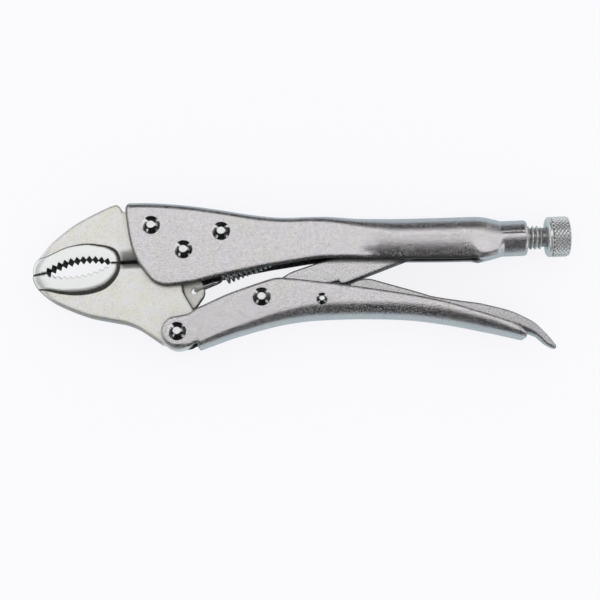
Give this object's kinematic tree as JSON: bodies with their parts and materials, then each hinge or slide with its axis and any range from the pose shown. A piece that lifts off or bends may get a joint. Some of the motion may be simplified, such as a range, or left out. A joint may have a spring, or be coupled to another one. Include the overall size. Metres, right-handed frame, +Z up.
{
  "type": "locking pliers",
  "caption": "Curved-jaw locking pliers with a pressed channel body, toggle linkage, release lever, return spring and knurled adjusting screw, shown closed and lying flat.",
  "frame": {"origin": "middle of the box's base, on the surface that the pliers lie on", "axes": "X runs along the tool from the jaws to the adjusting knob and is parallel to the screw, Y from the movable handle to the fixed handle, Z up through the tool's thickness"},
  "size_m": [0.25, 0.0756, 0.0206],
  "materials": {
    "handle_steel": "satin nickel plate",
    "jaw_steel": "satin nickel plate over forged steel, ground at the bite",
    "bright_steel": "polished",
    "link_steel": "satin plate",
    "screw_steel": "bright plate",
    "spring_steel": "oiled wire"
  },
  "bodies": {
    "frame": {"fixed_handle": "handle_steel", "fixed_jaw": "jaw_steel", "fixed_jaw_rivet_front": "bright_steel", "fixed_jaw_rivet_rear": "bright_steel", "jaw_pivot_rivet": "bright_steel", "return_spring": "spring_steel"},
    "jaw": {"movable_jaw": "jaw_steel"},
    "lower_handle": {"movable_handle": "handle_steel", "jaw_handle_rivet": "bright_steel", "link_rivet": "bright_steel", "lever_rivet": "bright_steel"},
    "link": {"toggle_link": "link_steel"},
    "lever": {"release_lever": "link_steel"},
    "screw": {"adjusting_screw": "screw_steel"},
    "knob": {"screw_knob": "screw_steel"}
  },
  "joints": [
    {"name": "jaw_open", "type": "hinge", "parent": "frame", "child": "jaw", "pos_m": [-0.0546, 0.0146, 0.0103], "axis": [0, 0, 1], "range_deg": [0, 18], "deforming": ["return_spring"]},
    {"name": "handle_swing", "type": "hinge", "parent": "jaw", "child": "lower_handle", "pos_m": [-0.0586, -0.0232, 0.0103], "axis": [0, 0, 1], "range_deg": [-54, 0]},
    {"name": "link_swing", "type": "hinge", "parent": "lower_handle", "child": "link", "pos_m": [-0.0193, -0.0088, 0.0103], "axis": [0, 0, 1], "range_deg": [0, 56]},
    {"name": "lever_release", "type": "hinge", "parent": "lower_handle", "child": "lever", "pos_m": [0.0084, -0.0108, 0.0103], "axis": [0, 0, 1], "range_deg": [0, 2]},
    {"name": "screw_travel", "type": "slide", "parent": "frame", "child": "screw", "axis": [1, 0, 0], "range_m": [0, 0.021]},
    {"name": "knob_turn", "type": "hinge", "parent": "screw", "child": "knob", "pos_m": [0.1194, 0.015, 0.0103], "axis": [1, 0, 0], "range_deg": [0, 3600]}
  ],
  "couplings": [
    {"joint": "handle_swing", "follows": "jaw_open", "ratio": -2.9921},
    {"joint": "link_swing", "follows": "jaw_open", "ratio": 3.1065},
    {"joint": "knob_turn", "follows": "screw_travel", "rad_per_m": 2992}
  ]
}
